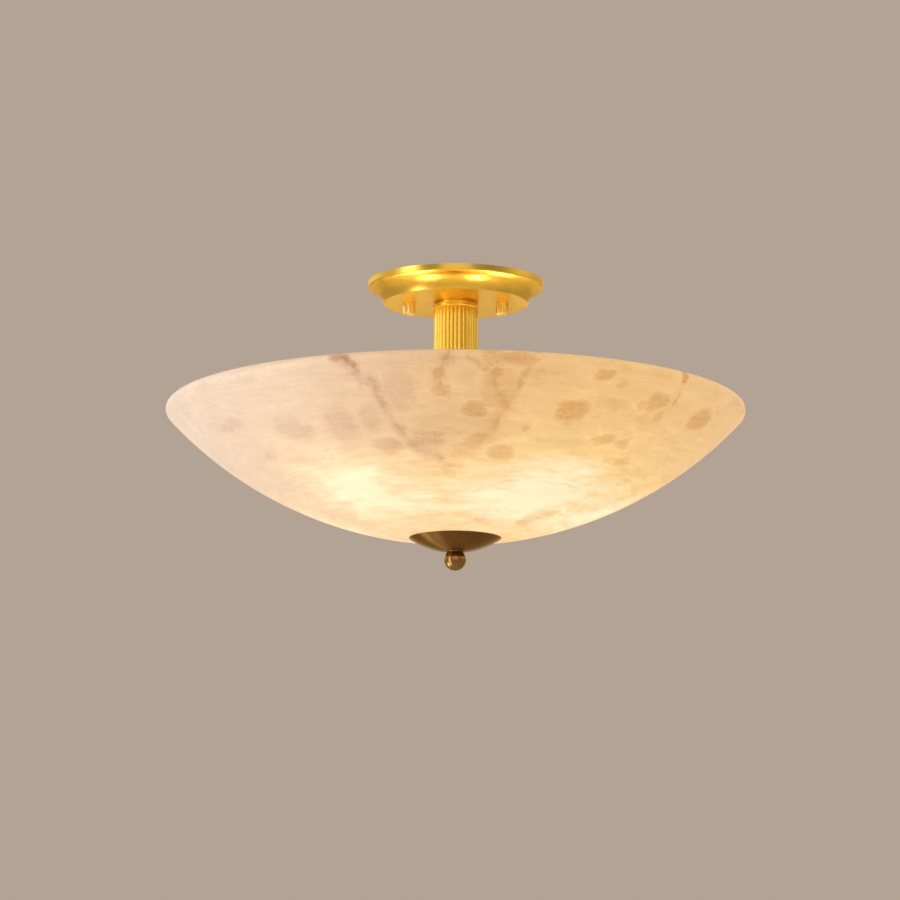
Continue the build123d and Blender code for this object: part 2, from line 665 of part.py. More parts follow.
def block_screw_places():
    return [
        Pos(x, BLOCK_OFFSET + side * BLOCK_SCREW_PITCH / 2, 0) for x in block_poles() for side in (-1, 1)
    ]


def terminal_block():
    base = extrude(Rectangle(BLOCK_POLES * BLOCK_POLE_PITCH, BLOCK_DEPTH), BLOCK_BASE_HEIGHT)
    block = Pos(0, BLOCK_OFFSET, floor_top) * base
    barrel = extrude(Rectangle(BLOCK_BARREL_WIDTH, BLOCK_DEPTH), BLOCK_HEIGHT)
    barrel = fillet(barrel.edges().filter_by(Axis.Y).group_by(Axis.Z)[-1], BLOCK_BARREL_WIDTH / 4)
    for x in block_poles():
        block += Pos(x, BLOCK_OFFSET, floor_top) * barrel
    for place in block_screw_places():
        block -= place * rod(BLOCK_SCREW_DIAMETER + 2 * RUN_GAP, entry_height, block_top + 1)
    return block


def terminal_screws():
    """Slotted screws sunk a little below the block's top."""
    top = block_top - BLOCK_SCREW_DIAMETER / 4
    screw = rod(BLOCK_SCREW_DIAMETER, entry_height + SIDE_GAP, top)
    slot_depth = BLOCK_SCREW_DIAMETER / 3
    screw -= Pos(0, 0, top) * Box(BLOCK_SCREW_DIAMETER, BLOCK_SCREW_DIAMETER / 4, slot_depth)
    return Compound(children=[place * screw for place in block_screw_places()])


def supply_lead(pole, side):
    """From the terminal block over the tube's mouth and down to the junction block."""
    over_tube = tube_top + LEAD_DIAMETER / 2 + SIDE_GAP
    junction_top = cluster_bottom + ROD_NUT_HEIGHT + JUNCTION_HEIGHT
    start, x = block_poles()[pole], side * LEAD_SPREAD
    points = [
        (start, block_front, entry_height),
        (start, block_front - LEAD_BEND, entry_height),
        (x, LEAD_BEND + TUBE_DIAMETER / 2, over_tube),
        (x, 0, over_tube),
        (x, 0, junction_top),
    ]
    return bent_wire(points, [LEAD_BEND, LEAD_BEND, LEAD_BEND], LEAD_DIAMETER)


def earth_stud():
    """A stud on the canopy floor with the nut under the earth lug and the nut over it."""
    bore = M4 + 2 * RUN_GAP
    lower = hex_nut(M4_NUT_FLATS, M4_NUT_HEIGHT, bore, floor_top)
    upper = hex_nut(M4_NUT_FLATS, M4_NUT_HEIGHT, bore, lug_under + EARTH_LUG_THICKNESS)
    stud = rod(M4, floor_top, floor_top + 2 * M4_NUT_HEIGHT + EARTH_LUG_THICKNESS + 1)
    return Compound(children=[Pos(*earth_place, 0) * piece for piece in (stud, lower, upper)])


def earth_lead():
    """From the block's first pole to a ring lug on the earth stud."""
    x, y = earth_place
    lug_middle = lug_under + EARTH_LUG_THICKNESS / 2
    lead_end = M4_NUT_FLATS / math.sqrt(3) + SIDE_GAP
    lug_diameter = 2 * (lead_end + EARTH_LUG_LAND)
    lug = ring(lug_diameter, M4 + 2 * RUN_GAP, lug_under, lug_under + EARTH_LUG_THICKNESS)
    start = block_poles()[0]
    points = [
        (start, block_front, entry_height),
        (start, y, entry_height),
        (x + lead_end + LEAD_BEND, y, lug_middle),
        (x + lead_end, y, lug_middle),
    ]
    return Pos(x, y, 0) * lug + bent_wire(points, [LEAD_BEND / 2, LEAD_BEND], LEAD_DIAMETER)


def lamp_leads():
    """A pair of leads from the junction block out through each arm to its holder."""
    start, end = junction_radius, cup_seat + HOLDER_RECESS
    leads = []
    for number in range(LAMP_COUNT):
        for side in (-1, 1):
            lead = Pos(0, side * LAMP_LEAD_SPREAD, 0) * arm_bar(LAMP_LEAD_DIAMETER, start, end)
            leads.append(along_arm(lead, number))
    return Compound(children=leads)


def pieces():
    """Every piece under its name."""
    made = {
        "mounting_bracket": mounting_bracket(),
        "bracket_studs": bracket_studs(),
        "stud_lock_nuts": stud_lock_nuts(),
        "bracket_earth_screw": bracket_earth_screw(),
        "canopy": canopy(),
        "cap_nut_left": cap_nut(-1),
        "cap_nut_right": cap_nut(1),
        "stem_top_collar": stem_collar(stem_top, 1),
        "reeded_stem": reeded_stem(),
        "stem_bottom_collar": stem_collar(stem_bottom, -1),
        "threaded_tube": threaded_tube(),
        "tube_washer": tube_washer(),
        "tube_top_nut": tube_nut(floor_top + TUBE_WASHER_THICKNESS),
        "tube_bottom_nut": tube_nut(cluster_ceiling - TUBE_NUT_HEIGHT),
        "cluster_body": cluster_body(),
        "cluster_cover": cluster_cover(),
        "cover_screws": cover_screws(),
        "junction_block": junction_block(),
        "hanger_rod": hanger_rod(),
        "rod_top_nut": rod_nut(cluster_bottom),
        "rod_seat_nut": rod_nut(plate_top),
        "seat_plate": seat_plate(),
        "upper_cushion": upper_cushion(),
        "stone_bowl": stone_bowl(),
        "lower_cushion": lower_cushion(),
        "bottom_cap": bottom_cap(),
        "ball_finial": ball_finial(),
        "terminal_block": terminal_block(),
        "terminal_screws": terminal_screws(),
        "line_lead": supply_lead(1, -1),
        "neutral_lead": supply_lead(2, 1),
        "earth_stud": earth_stud(),
        "earth_lead": earth_lead(),
        "lamp_leads": lamp_leads(),
    }
    for number in range(LAMP_COUNT):
        for make in (lamp_arm, lamp_cup, lamp_holder, bulb_base, bulb_pins, bulb_envelope):
            made[f"{make.__name__}_{number + 1}"] = make(number)
    return made


def main():
    os.makedirs("parts", exist_ok=True)
    for name, piece in pieces().items():
        export_step(piece, f"parts/{name}.step")
    print("thread in each cap nut", floor_under - stud_end)
    print("thread in the finial", cap_flat - finial_bore_end - ROD_END_GAP)
    print("overall height", -finial_bottom)


main()
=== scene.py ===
import json
import math

import bpy
from mathutils import Matrix, Vector

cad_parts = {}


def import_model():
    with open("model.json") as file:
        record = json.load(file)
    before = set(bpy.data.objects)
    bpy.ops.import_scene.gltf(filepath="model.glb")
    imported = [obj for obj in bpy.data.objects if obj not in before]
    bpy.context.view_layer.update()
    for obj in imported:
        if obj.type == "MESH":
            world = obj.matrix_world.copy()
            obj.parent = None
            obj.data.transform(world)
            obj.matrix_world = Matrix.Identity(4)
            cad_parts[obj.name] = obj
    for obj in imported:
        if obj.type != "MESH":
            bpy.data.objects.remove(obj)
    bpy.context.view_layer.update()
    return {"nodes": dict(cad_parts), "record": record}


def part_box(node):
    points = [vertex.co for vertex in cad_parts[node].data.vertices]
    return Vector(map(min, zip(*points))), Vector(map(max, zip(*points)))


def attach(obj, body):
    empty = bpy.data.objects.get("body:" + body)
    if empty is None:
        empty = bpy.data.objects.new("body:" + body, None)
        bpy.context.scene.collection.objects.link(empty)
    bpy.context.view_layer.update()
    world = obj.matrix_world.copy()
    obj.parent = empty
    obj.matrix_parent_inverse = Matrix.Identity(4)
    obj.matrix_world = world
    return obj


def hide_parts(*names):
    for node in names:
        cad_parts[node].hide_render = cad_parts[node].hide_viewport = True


# Looks of a semi-flush ceiling light: a lit stone bowl on a reeded brass stem under a round brass canopy.
# Metres, in the frame of the solids: the origin is on the ceiling, +Z is up and -Y faces the viewer.

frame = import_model()
nodes = frame["nodes"]

MM = 0.001

# Stone bowl, as the solid has it
BOWL_SPHERE_RADIUS = 0.272
BOWL_WALL = 0.008
BOWL_HOLE_RADIUS = 0.004
BOWL_FLAT_RADIUS = 0.023  # of the flat inside, round the hole

# Fineness of the bowl's mesh, and the angles in degrees past which an edge stays sharp
BOWL_AROUND = 256
BOWL_OUTER_STEPS = 72
BOWL_LIP_STEPS = 14
BOWL_INNER_STEPS = 40
BOWL_SHARP_ANGLE = 40
SOLID_SHARP_ANGLE = 32

# The stone's pattern, in degrees from the viewer, positive to the right, and in millimetres of height
PATTERN_GIRTH = 0.165  # radius at which the pattern's widths are true

# Noises that shake the pattern: the scale of each, and its reach in millimetres
SHAKES = {38.0: 6.0, 120.0: 3.5, 300.0: 1.8}

# Courses of the veins as (angle, height), from the rim down
LEFT_COURSE = [
    (-21.3, -92.6), (-19.9, -97), (-19.5, -102.5), (-18.7, -105), (-16.7, -105.7), (-16.6, -111),
    (-16.5, -119), (-15.3, -125), (-13.7, -130.5), (-11.8, -138), (-9.7, -142.7), (-7.3, -146), (-4, -147),
]
LEFT_CORNER_COURSE = [(-24, -90), (-21.5, -91.5), (-19.6, -94.5), (-19, -101)]
MIDDLE_COURSE = [(-1.3, -88), (-1.6, -95), (-3.5, -104), (-2.8, -107), (-3.5, -112), (-2.2, -114.5)]
RIGHT_COURSE = [
    (6.9, -88), (7.9, -102), (7.4, -107), (9, -114), (11.2, -120), (10.1, -125), (9.2, -133),
    (6.8, -137.6), (3.8, -142), (0.5, -146), (-3.2, -149),
]
BRANCH_COURSE = [(2.5, -95), (5.5, -100), (8, -102.5)]
SIDE_COURSE = [(15, -88), (14.5, -97), (12.5, -105), (12.6, -110), (11, -119)]
FAR_RIGHT_COURSE = [(49.6, -88), (50, -97), (51.2, -108)]

# Each vein: its course, and its half widths in millimetres with the strength of each
GREY_VEINS = [
    (LEFT_COURSE, {7.0: 0.75, 2.4: 1.0}),
]
BROWN_VEINS = [
    (LEFT_CORNER_COURSE, {3.0: 0.9}),
    (MIDDLE_COURSE, {7.0: 0.6, 2.4: 0.8}),
    (RIGHT_COURSE, {10.0: 0.45, 3.0: 0.6}),
    (BRANCH_COURSE, {4.0: 0.6}),
    (SIDE_COURSE, {4.0: 0.45}),
    (FAR_RIGHT_COURSE, {2.0: 0.6}),
]

# Each patch: angle, height, half width, half height, strength
BROWN_PATCHES = [
    (-23, -90, 6, 4, 1.0),
    (49.6, -92, 3.4, 6, 1.2),
    (26.6, -120.5, 13, 8, 1.0),
    (30, -99, 7, 4, 0.9),
    (35, -103, 5, 3, 0.5),
    (46.5, -109, 10, 6, 0.85),
    (43, -112, 5, 4, 0.5),
    (50, -117, 5, 4, 0.6),
    (64.6, -111, 15, 7, 0.9),
    (39, -134, 13, 3, 0.7),
    (46, -134.5, 9, 3, 0.65),
    (52, -142, 10, 3.5, 0.6),
    (12.5, -145.5, 13, 4.5, 0.85),
    (-2, -155, 9, 2.5, 0.5),
    (64, -150, 9, 3, 0.5),
    (51, -171.5, 30, 5, 0.9),
    (18, -160, 16, 3, 0.75),
    (17, -174.5, 16, 3, 0.6),
    (4.2, -122.4, 9, 5, 0.75),
    (7.8, -102.5, 4, 3.5, 1.0),
    (10.8, -119.5, 4, 4, 1.0),
    (12.5, -107.5, 2.5, 4, 0.9),
    (-3.2, -103.5, 4, 4, 0.9),
    (-3, -112.5, 7, 4, 0.7),
    (11.5, -94, 14, 5, 0.8),
    (16.9, -132.5, 3, 2, 0.8),
    (9, -112, 14, 14, 0.4),
]
GREY_PATCHES = [
    (-60, -118, 18, 4, 0.7),
    (-41, -127, 16, 7, 0.8),
    (-28, -128, 16, 9, 0.75),
    (-20, -126, 10, 8, 0.6),
    (-18, -140.5, 14, 5, 0.85),
    (-7.5, -139.5, 18, 8, 1.0),
    (0, -132, 34, 14, 0.4),
    (-12, -112, 12, 12, 0.5),
]
PATCH_FRAY = 0.25  # how far a patch's edge wanders, as a share of its half width
PATCH_EDGE = (0.5, 1.2)  # shares of the half width between which a patch fades
SPOT_SHARE = 0.88  # how far a brown patch darkens the stone at full strength
MOTTLE_SHARE = 0.35  # and how far the mottle between the patches does

# Noises that the stone's marks, tone and light share. Streaks: how flat they are, scale, roughness
STREAKS = {"broad": (6.0, 34.0, 0.6), "fine": (16.0, 46.0, 0.65), "mottle": (2.2, 30.0, 0.6)}
# Specks: scale, detail, roughness
SPECKS = {"grain": (330.0, 3.0, 0.6), "blotch": (85.0, 3.0, 0.6), "cloud": (16.0, 4.0, 0.55)}
BED_SHAKE = (0.012, 0.012, 0.006)  # reach of the waves in the streaks
CRACK_SHAKE = (0.02, 0.02, 0.02)  # and in the cracks
CRACK_SCALE = 34.0
CRACK_WIDTH = 0.03  # as a share of the cells that the cracks divide

# Level of the stone's tone, and what each of its fields adds
TONE_BASE = 0.715
TONE_SHARES = {"cloud": 0.12, "broad": 0.13, "fine": 0.16, "grain": 0.12, "crack": 0.05, "edge": 0.05}

# Painted glow where the bulbs shine through the stone: angle, height and strength
GLOW_SPOTS = [
    (-41, -158, 0.5), (-35, -163, 0.5), (28, -161, 0.6), (40, -163, 0.6), (92, -163, 0.8), (-128, -163, 1.0),
]
# Reach of each one's bright core and of its halo in metres, with their shares of its strength
GLOW_REACHES = {0.034: 0.66, 0.082: 0.42}
# Heights between which the painted glow grows towards the foot of the bowl, and what it gains there
GLOW_TOP = -0.130
GLOW_FOOT = -0.175
GLOW_GAIN = 0.10
# Streaks that cross the glow, with its least and greatest level there
GLOW_STREAKS = {"broad": (0.7, 1.25), "fine": (0.86, 1.12)}
# Levels of the glow at which the stone has all the halo's colour, and all the bright core's
HALO_LEVEL = 0.5
HOT_LEVEL = 1.05

# Colours of the lit stone, away from the bulbs and in their halo, paler on the left with painted side light:
# place from left to right, linear colour
SIDE_LIT_STONE = [
    (-0.19, (0.69, 0.53, 0.42)),
    (-0.10, (0.70, 0.49, 0.33)),
    (-0.03, (0.69, 0.43, 0.235)),
    (0.04, (0.77, 0.475, 0.215)),
    (0.12, (0.87, 0.55, 0.25)),
    (0.19, (0.87, 0.575, 0.295)),
]
HALO_STONE = [
    (-0.19, (0.79, 0.60, 0.44)),
    (-0.10, (0.88, 0.64, 0.39)),
    (0.0, (0.98, 0.66, 0.32)),
    (0.08, (0.99, 0.67, 0.295)),
    (0.19, (0.97, 0.66, 0.32)),
]
COLOUR_REACH = 0.2  # how far to each side the places above count
# Colour of the painted glow's bright core, nearest a bulb
HOT_STONE = (1.02, 0.89, 0.575)
BROWN_TINT = (0.80, 0.695, 0.63)
GREY_TINT = (0.81, 0.76, 0.79)
PALE_STONE = (0.50, 0.43, 0.32)  # of the stone by itself, in the room's light
ROOM_SHARE = (0.26, 0.215, 0.15)  # what the room's light adds to the glow
STONE_LIGHT = 1.04

# The inside, which faces the bulbs: the colour of its painted glow, and the radii between which that glow
# rises out of painted shade near the stem
INNER_GLOW = (0.74, 0.58, 0.38)
INNER_RADII = (0.06, 0.17)
INNER_SHADE_LEVELS = (0.4, 0.7)

# Metals: linear colour, the deeper colour of its clouds, roughness, how far it is spun, scale of its clouds
METALS = {
    "polished_brass": ((0.95, 0.67, 0.12), (0.89, 0.60, 0.09), 0.3, 0.0, 18.0),
    "reeded_brass": ((0.95, 0.67, 0.12), (0.89, 0.60, 0.09), 0.18, 0.0, 18.0),
    # The nuts' brass: paler than the canopy's with painted light on them, and duller
    "lit_knurled_brass": ((0.97, 0.76, 0.30), (0.93, 0.69, 0.22), 0.36, 0.0, 18.0),
    "satin_brass": ((0.84, 0.54, 0.16), (0.70, 0.42, 0.10), 0.3, 0.0, 18.0),
    "antique_brass": ((0.295, 0.162, 0.046), (0.23, 0.119, 0.029), 0.4, 0.95, 40.0),
    "ball_brass": ((0.36, 0.21, 0.075), (0.31, 0.175, 0.055), 0.26, 0.6, 40.0),
    "zinc_steel": ((0.62, 0.63, 0.64), (0.45, 0.46, 0.48), 0.36, 0.0, 60.0),
    "bright_steel": ((0.75, 0.75, 0.76), (0.60, 0.60, 0.62), 0.22, 0.0, 60.0),
}
BALLS = {"ball_brass": "ball_finial"}  # metals that only a ball has, with the ball's node
BALL_END = (1.01, 1.03)  # shares of the radius between which a ball gives way to its neck
EDGE_TINT = (1.0, 0.86, 0.6)  # of metal seen at a slant

# The metals' turned lines: scale, drift along a radian, share of the tone, and how uneven the gloss is
LINE_SCALE = 2600.0
LINE_DRIFT = 0.004
LINE_SHARE = 0.2
GLOSS_SPREAD = 0.06

# Plain finishes: linear colour, roughness, how far it is speckled, scale and height of its grain
PLAIN_FINISHES = {
    "white_porcelain": ((0.84, 0.82, 0.77), 0.42, 0.06, 700.0, 0.08),
    "white_nylon": ((0.80, 0.79, 0.75), 0.45, 0.05, 900.0, 0.1),
    "clear_silicone": ((0.66, 0.65, 0.61), 0.5, 0.08, 500.0, 0.1),
    "brown_insulation": ((0.075, 0.026, 0.010), 0.4, 0.12, 800.0, 0.06),
    "blue_insulation": ((0.016, 0.060, 0.32), 0.4, 0.12, 800.0, 0.06),
    "green_insulation": ((0.035, 0.23, 0.035), 0.4, 0.12, 800.0, 0.06),
    "white_insulation": ((0.76, 0.74, 0.68), 0.4, 0.12, 800.0, 0.06),
}

# Bulbs: colours of the glass, of its frost, of the light and of the warmer light near the base
BULB_GLASS = (0.95, 0.90, 0.80)
BULB_FROST = (0.88, 0.84, 0.76)
BULB_LIGHT = (1.0, 0.89, 0.70)
BULB_WARM_LIGHT = (0.85, 0.50, 0.22)
BULB_WARM_END = 0.064  # distances from the axis between which the warmer light gives way
BULB_FULL_START = 0.074
BULB_BASE_SHARE = 0.7  # of the full light at the base
BULB_STRENGTH = 27.0

# Solids whose brass differs from the rest of their slot: the nuts are duller and paler with painted light,
# the stem glossier, and the ball glossier and paler
OWN_FINISH = {
    "cap_nut_left": "lit_knurled_brass",
    "cap_nut_right": "lit_knurled_brass",
    "reeded_stem": "reeded_brass",
    "ball_finial": "ball_brass",
}

# Camera: place in metres, angles in degrees, lens in millimetres
CAMERA_PLACE = (-0.0038, -3.025, -0.681)
CAMERA_PITCH = 10.54
CAMERA_ROLL = 0.2
CAMERA_LENS = 178.3

# Backdrop and floor
BACKDROP = (0.451, 0.366, 0.296)
ROOM_LIGHT = (1.0, 0.97, 0.94)
ROOM_STRENGTH = 0.35
BEHIND_VIEWER = 0.35  # level of the room behind the viewer, as metal shows it
BEHIND_ENDS = (-0.7, 0.3)  # Y of the ways between which that room turns into the backdrop
FLOOR_HEIGHT = -3.4
FLOOR_SIZE = 400.0
FLOOR_FINISH = ((0.92, 0.83, 0.75), 0.6, 0.03, 40.0, 0.0)  # in the order of the plain finishes
FLOOR_GLOW = (0.12, 0.077, 0.052)  # lifts the floor to the backdrop where the camera or a gloss sees it

# Ring of panels round the object, which the upright walls of the brass mirror
RING_POWERS = (2.3, 0.6, 2.2, 0.8, 4.6, 0.6, 1.0, 2.3)  # clockwise from the back, seen from above
RING_RADIUS = 2.6
RING_HEIGHT = 0.55
RING_AIM = (0, 0, -0.03)
RING_PANEL = (2.0, 0.6)
RING_LEFT = (1.0, 0.96, 0.92)  # colour of the ring's light at its left end, and at its right
RING_RIGHT = (1.0, 0.84, 0.62)

# Other panels: place, aim, width and height, power in watts, colour
PANELS = {
    "key_left": ((-0.97, -0.52, -0.25), (0, 0, -0.25), (0.34, 3.0), 9.0, (1.0, 0.97, 0.93)),
    "low_left": ((-2.3, 0.45, -1.75), (0, 0, -0.19), (0.8, 1.0), 19.0, (1.0, 0.96, 0.9)),
    "front_low": ((0.0, -0.5, -0.115), (0, 0, -0.01), (0.9, 0.13), 0.27, (1.0, 0.92, 0.82)),
    "back_low": ((0.0, 1.2, -0.28), (0, 0, -0.02), (1.4, 0.24), 0.39, (1.0, 0.88, 0.72)),
}


# Node trees


def with_alpha(value):
    """A colour of three numbers with its alpha added, and anything else as it is."""
    if isinstance(value, tuple) and len(value) == 3:
        return (*value, 1.0)
    return value


class Graph:
    """The node tree of a material or a world, with short calls for the nodes that it uses."""

    def __init__(self, owner):
        owner.use_nodes = True
        self.tree = owner.node_tree
        self.tree.nodes.clear()

    def add(self, kind, *values, **settings):
        """Adds a node, sets its options, and plugs values into its first sockets."""
        node = self.tree.nodes.new(kind)
        for key, value in settings.items():
            setattr(node, key, value)
        for socket, value in zip(node.inputs, values):
            self.plug(socket, value)
        return node

    def plug(self, socket, value):
        """Links a socket, sets a plain value, or leaves None alone."""
        if isinstance(value, bpy.types.NodeSocket):
            self.tree.links.new(value, socket)
        elif value is not None:
            socket.default_value = value

    def parts(self, vector):
        return self.add("ShaderNodeSeparateXYZ", vector).outputs

    def join(self, x, y, z):
        return self.add("ShaderNodeCombineXYZ", x, y, z).outputs[0]

    def math(self, operation, a, b=None):
        return self.add("ShaderNodeMath", a, b, operation=operation).outputs[0]

    def vector(self, operation, a, b=None):
        node = self.add("ShaderNodeVectorMath", a, b, operation=operation)
        return node.outputs["Value" if operation in ("LENGTH", "DISTANCE", "DOT_PRODUCT") else "Vector"]

    def noise(self, vector, scale, detail=2.0, roughness=0.5, output="Fac"):
        node = self.add("ShaderNodeTexNoise")
        self.plug(node.inputs["Vector"], vector)
        self.plug(node.inputs["Scale"], scale)
        self.plug(node.inputs["Detail"], detail)
        self.plug(node.inputs["Roughness"], roughness)
        return node.outputs[output]

    def cell_edges(self, vector, scale):
        node = self.add("ShaderNodeTexVoronoi", feature="DISTANCE_TO_EDGE")
        self.plug(node.inputs["Vector"], vector)
        self.plug(node.inputs["Scale"], scale)
        return node.outputs["Distance"]

    def range(self, value, start, end, low=0.0, high=1.0, smooth=True):
        """Maps a value from one range to another, clamped, with soft ends unless told otherwise."""
        kind = "SMOOTHSTEP" if smooth else "LINEAR"
        node = self.add("ShaderNodeMapRange", value, start, end, low, high, interpolation_type=kind)
        return node.outputs[0]

    def mix(self, factor, a, b, blend="MIX"):
        """Blends two colours, whose sockets stand seventh and eighth in the node."""
        node = self.add("ShaderNodeMix", data_type="RGBA", blend_type=blend)
        for socket, value in zip((node.inputs[0], node.inputs[6], node.inputs[7]), (factor, a, b)):
            self.plug(socket, with_alpha(value))
        return node.outputs[2]

    def scale(self, colour, level):
        """A colour times one level."""
        return self.mix(1.0, colour, self.join(level, level, level), "MULTIPLY")

    def ramp(self, value, stops):
        node = self.add("ShaderNodeValToRGB", value)
        elements = node.color_ramp.elements
        while len(elements) < len(stops):
            elements.new(0.5)
        for element, (place, colour) in zip(elements, stops):
            element.position = place
            element.color = with_alpha(colour)
        return node.outputs[0]

    def seen_rays(self):
        """One for the rays of the camera, a gloss or a clear piece, nought for those that only light."""
        path = self.add("ShaderNodeLightPath").outputs
        mirrored = self.math("MAXIMUM", path["Is Glossy Ray"], path["Is Transmission Ray"])
        return self.math("MAXIMUM", path["Is Camera Ray"], mirrored)


class Surface(Graph):
    """A material's node tree, with its surface shader and the place of a point on the object."""

    def __init__(self, name):
        self.material = bpy.data.materials.new(name)
        super().__init__(self.material)
        self.shader = self.add("ShaderNodeBsdfPrincipled")
        self.add("ShaderNodeOutputMaterial", self.shader.outputs[0])
        self.place = self.add("ShaderNodeTexCoord").outputs["Object"]
        self.x, self.y, self.z = self.parts(self.place)
        self.out = self.vector("LENGTH", self.join(self.x, self.y, 0.0))

    def set(self, name, value):
        """Sets one of the surface shader's sockets."""
        self.plug(self.shader.inputs[name], with_alpha(value))

    def bump(self, height, strength, distance, normal=None):
        node = self.add("ShaderNodeBump", strength, distance)
        self.plug(node.inputs["Height"], height)
        self.plug(node.inputs["Normal"], normal)
        self.plug(self.shader.inputs["Normal"], node.outputs[0])


# Metals


def ball_normal(graph, ball):
    """The true normal of a ball, smoother than its facets give, and the facets' own on the neck above it."""
    low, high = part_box(ball)
    radius = (high.x - low.x) / 2
    middle = ((low.x + high.x) / 2, (low.y + high.y) / 2, low.z + radius)
    away = graph.vector("SUBTRACT", graph.place, middle)
    on_neck = graph.range(graph.vector("LENGTH", away), radius * BALL_END[0], radius * BALL_END[1])
    turned = graph.add("ShaderNodeVectorTransform", away, vector_type="NORMAL", convert_from="OBJECT")
    round_normal = graph.vector("NORMALIZE", turned.outputs[0])
    facets = graph.add("ShaderNodeNewGeometry").outputs["Normal"]
    return graph.vector("NORMALIZE", graph.mix(on_neck, round_normal, facets))


def metal(name, colour, deep, roughness, spun, cloud_scale):
    """A metal with faint turned lines, cloudy tone and uneven gloss; spun metal draws its highlights out."""
    graph = Surface(name)
    turn = graph.math("ARCTAN2", graph.x, graph.y)
    lines = graph.join(graph.out, graph.math("MULTIPLY", turn, LINE_DRIFT), graph.z)
    lines = graph.noise(lines, LINE_SCALE)
    cloud = graph.noise(graph.place, cloud_scale, 4.0, 0.55)
    clouds = graph.math("MULTIPLY", cloud, 1 - LINE_SHARE)
    tone = graph.math("ADD", clouds, graph.math("MULTIPLY", lines, LINE_SHARE))
    uneven = graph.math("MULTIPLY", graph.math("ADD", lines, cloud), GLOSS_SPREAD)
    graph.set("Base Color", graph.mix(graph.range(tone, 0.35, 0.65), deep, colour))
    graph.set("Metallic", 1.0)
    graph.set("Specular Tint", EDGE_TINT)
    graph.set("Roughness", graph.math("ADD", uneven, roughness - GLOSS_SPREAD))
    graph.set("Anisotropic", spun)
    graph.set("Anisotropic Rotation", 0.25)
    graph.set("Tangent", graph.add("ShaderNodeTangent", direction_type="RADIAL", axis="Z").outputs[0])
    graph.bump(lines, 0.01, 0.0001, ball_normal(graph, BALLS[name]) if name in BALLS else None)
    return graph.material


# Stone


class Stone(Surface):
    """The lit stone's node tree, with the shakes and the other noises that it uses more than once."""

    def __init__(self, name):
        super().__init__(name)
        self.shakes = {}
        for scale in SHAKES:
            noise = self.noise(self.place, scale, 2.0, 0.55, "Color")
            self.shakes[scale] = self.vector("SUBTRACT", noise, (0.5, 0.5, 0.5))
        self.fields = {}
        bed = self.shaken(BED_SHAKE)
        for field, (flatness, scale, roughness) in STREAKS.items():
            level = self.vector("MULTIPLY", bed, (1.0, 1.0, flatness))
            self.fields[field] = self.noise(level, scale, 4.0, roughness)
        for field, settings in SPECKS.items():
            self.fields[field] = self.noise(self.place, *settings)

    def shaken(self, reach):
        """The place of a point, shaken by the coarsest of the noises."""
        return self.vector("ADD", self.place, self.vector("MULTIPLY", self.shakes[min(SHAKES)], reach))


def pattern_point(angle, height):
    """A place in the flat pattern, from an angle in degrees and a height in millimetres."""
    return Vector((math.radians(angle) * PATTERN_GIRTH, height * MM, 0.0))


def pattern_spot(stone):
    """Where a point lies in the flat pattern, which repeats after half a turn and is shaken by noises."""
    facing = stone.math("MULTIPLY", stone.math("SIGN", stone.y), -1.0)
    angle = stone.math("ARCTAN2", stone.math("MULTIPLY", stone.x, facing), stone.math("ABSOLUTE", stone.y))
    spot = stone.join(stone.math("MULTIPLY", angle, PATTERN_GIRTH), stone.z, 0.0)
    for scale, reach in SHAKES.items():
        shake = stone.vector("MULTIPLY", stone.shakes[scale], (reach * MM, reach * MM, 0.0))
        spot = stone.vector("ADD", spot, shake)
    return spot


def strongest(stone, shares):
    """The largest of several shares, each with its strength."""
    total = 0.0
    for share, strength in shares:
        total = stone.math("MAXIMUM", stone.math("MULTIPLY", share, strength), total)
    return total


def course_distance(stone, spot, course):
    """How far a point of the pattern lies from a course of straight runs."""
    nearest = 1.0
    points = [pattern_point(*place) for place in course]
    for start, end in zip(points, points[1:]):
        run = end - start
        gone = stone.vector("SUBTRACT", spot, start)
        share = stone.vector("DOT_PRODUCT", gone, run / run.length_squared)
        share = stone.range(share, 0.0, 1.0, smooth=False)
        reached = stone.vector("MULTIPLY", stone.join(share, share, share), run)
        nearest = stone.math("MINIMUM", stone.vector("DISTANCE", gone, reached), nearest)
    return nearest


def veins(stone, spot, rows):
    """How strongly a point lies on any of several veins, which swell and shrink along their way."""
    swell = stone.range(stone.fields["blotch"], 0.3, 0.7, 1.6, 0.7)
    shares = []
    for course, widths in rows:
        away = stone.math("MULTIPLY", course_distance(stone, spot, course), swell)
        for half_width, strength in widths.items():
            shares.append((stone.range(away, 0.0, half_width * MM, 1.0, 0.0), strength))
    return strongest(stone, shares)


def patches(stone, spot, rows):
    """How strongly a point lies in any of several oval patches with frayed edges."""
    fray = stone.range(stone.fields["fine"], 0.25, 0.75, PATCH_FRAY, -PATCH_FRAY, smooth=False)
    shares = []
    for angle, height, half_width, half_height, strength in rows:
        aside = stone.vector("SUBTRACT", spot, pattern_point(angle, height))
        aside = stone.vector("MULTIPLY", aside, (1 / (half_width * MM), 1 / (half_height * MM), 0.0))
        away = stone.math("ADD", stone.vector("LENGTH", aside), fray)
        shares.append((stone.range(away, *PATCH_EDGE, 1.0, 0.0), strength))
    return strongest(stone, shares)


